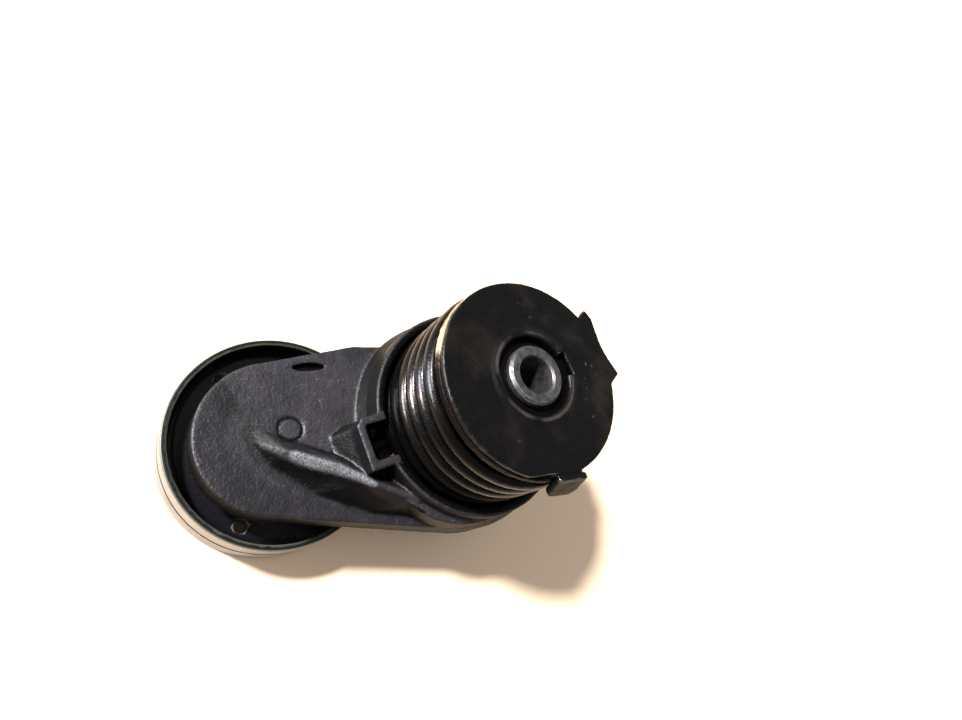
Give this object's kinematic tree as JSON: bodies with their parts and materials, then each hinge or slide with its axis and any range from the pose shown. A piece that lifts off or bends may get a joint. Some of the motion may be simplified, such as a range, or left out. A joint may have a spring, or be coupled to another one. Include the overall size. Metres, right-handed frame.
{
  "type": "belt tensioner idler",
  "caption": "Sprung belt tensioner: a cast arm with a flat idler pulley pivots on a through-bolted tube against an exposed torsion spring under a stamped base plate.",
  "frame": {"origin": "on the pivot axis at the mounting face, which is the end of the pivot tube", "axes": "+Z along the pivot bolt out of the mounting face, away from the pulley; the pulley's axis is parallel and lies on the -X side; Y follows by the right hand"},
  "size_m": [0.1228, 0.0706, 0.077],
  "materials": {
    "oily_black_sheet": "black stamped sheet, oily, satin",
    "bare_steel": "worn grey steel",
    "cream_nylon": "cream nylon with brown grime",
    "bronze_washer": "oily bronze",
    "dark_friction_nylon": "dark glass-filled nylon",
    "zinc_steel": "dull zinc plate",
    "seal_rubber": "black nitrile",
    "spring_steel": "oil-hardened wire, dark and glossy with oil",
    "dark_cast_aluminium": "rough sand-textured casting, dirty dark grey",
    "bush_nylon": "greased nylon",
    "bearing_steel": "ground bearing steel",
    "cage_nylon": "cream nylon cage",
    "black_pulley_sheet": "black paint, worn to pale steel on the belt run"
  },
  "bodies": {
    "base": {"base_plate": "oily_black_sheet", "pivot_tube": "bare_steel", "upper_spring_ring": "cream_nylon", "thrust_washer": "bronze_washer", "friction_washer": "dark_friction_nylon", "front_retainer": "zinc_steel", "torsion_spring": "spring_steel"},
    "arm": {"tensioner_arm": "dark_cast_aluminium", "rear_pivot_bush": "bush_nylon", "front_pivot_bush": "bush_nylon", "hub_seal": "seal_rubber", "lower_spring_seat": "cream_nylon", "pulley_bolt": "zinc_steel", "dust_shield": "zinc_steel", "spacer_sleeve": "bare_steel", "bearing_inner_ring": "bearing_steel"},
    "cage": {"bearing_balls": "bearing_steel", "ball_cage": "cage_nylon"},
    "pulley": {"pulley_rear_half": "black_pulley_sheet", "pulley_front_half": "black_pulley_sheet", "bearing_outer_ring": "bearing_steel", "bearing_seal_rear": "seal_rubber", "bearing_seal_front": "seal_rubber"}
  },
  "joints": [
    {"name": "arm_swing", "type": "hinge", "parent": "base", "child": "arm", "pos_m": [0, 0, 0], "axis": [0, 0, 1], "range_deg": [0, 45], "stiffness_Nm_per_rad": 5.3, "springref_deg": -171.89, "deforming": ["torsion_spring"]},
    {"name": "pulley_spin", "type": "hinge", "parent": "arm", "child": "pulley", "pos_m": [-0.055, 0, -0.068], "axis": [0, 0, 1], "continuous": true},
    {"name": "cage_spin", "type": "hinge", "parent": "arm", "child": "cage", "pos_m": [-0.055, 0, -0.068], "axis": [0, 0, 1], "continuous": true}
  ],
  "couplings": [
    {"joint": "cage_spin", "follows": "pulley_spin", "ratio": 0.61842}
  ]
}
